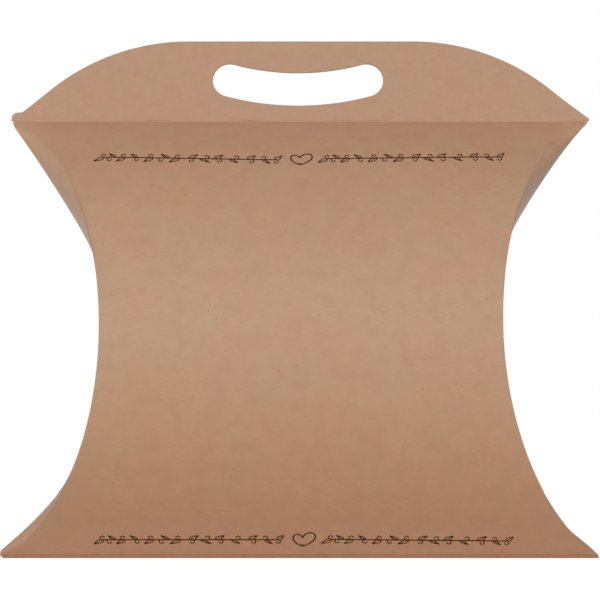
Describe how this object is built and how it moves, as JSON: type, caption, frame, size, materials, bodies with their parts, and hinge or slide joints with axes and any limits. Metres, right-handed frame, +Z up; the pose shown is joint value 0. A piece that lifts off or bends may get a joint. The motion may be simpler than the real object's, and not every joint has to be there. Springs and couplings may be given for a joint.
{
  "type": "pillow box",
  "caption": "Pillow-shaped kraft carton with bowed front and back panels, curved tuck flaps closing both ends, and a folding carry handle with a bent hand hole.",
  "frame": {"origin": "middle of the bottom fold, on the surface that the box stands on", "axes": "+X along the bottom fold to the right as seen from the front, -Y out of the printed front panel, +Z up to the handle"},
  "size_m": [0.35, 0.128, 0.3107],
  "materials": {
    "kraft_board": "matt uncoated brown kraft board with fine fibres",
    "scored_board": "crushed kraft board along a scored crease, slightly paler",
    "printed_ink": "one dark brown ink printed on the board",
    "glue": "thin dried film of paper glue"
  },
  "bodies": {
    "carton": {"front_panel": "kraft_board", "back_panel": "kraft_board", "bottom_fold": "scored_board", "top_crease": "scored_board", "left_front_crease": "scored_board", "left_back_crease": "scored_board", "right_front_crease": "scored_board", "right_back_crease": "scored_board"},
    "handle": {"front_handle_ply": "kraft_board", "back_handle_ply": "kraft_board", "handle_glue": "glue"},
    "left_outer": {"left_outer_flap": "kraft_board"},
    "left_inner": {"left_inner_flap": "kraft_board"},
    "right_outer": {"right_outer_flap": "kraft_board"},
    "right_inner": {"right_inner_flap": "kraft_board"}
  },
  "joints": [
    {"name": "handle_fold", "type": "hinge", "parent": "carton", "child": "handle", "pos_m": [0, 0, 0.261], "axis": [1, 0, 0], "range_deg": [-90, 90], "stiffness_Nm_per_rad": 0.05},
    {"name": "left_outer_hinge", "type": "hinge", "parent": "carton", "child": "left_outer", "pos_m": [-0.111, -0.064, 0.1305], "axis": [0, 0, 1], "range_deg": [0, 90]},
    {"name": "left_inner_hinge", "type": "hinge", "parent": "carton", "child": "left_inner", "pos_m": [-0.111, 0.064, 0.1305], "axis": [0, 0, -1], "range_deg": [0, 90]},
    {"name": "right_outer_hinge", "type": "hinge", "parent": "carton", "child": "right_outer", "pos_m": [0.111, -0.064, 0.1305], "axis": [0, 0, -1], "range_deg": [0, 90]},
    {"name": "right_inner_hinge", "type": "hinge", "parent": "carton", "child": "right_inner", "pos_m": [0.111, 0.064, 0.1305], "axis": [0, 0, 1], "range_deg": [0, 90]}
  ],
  "couplings": [
    {"joint": "left_inner_hinge", "follows": "left_outer_hinge", "ratio": 1},
    {"joint": "right_inner_hinge", "follows": "right_outer_hinge", "ratio": 1}
  ]
}
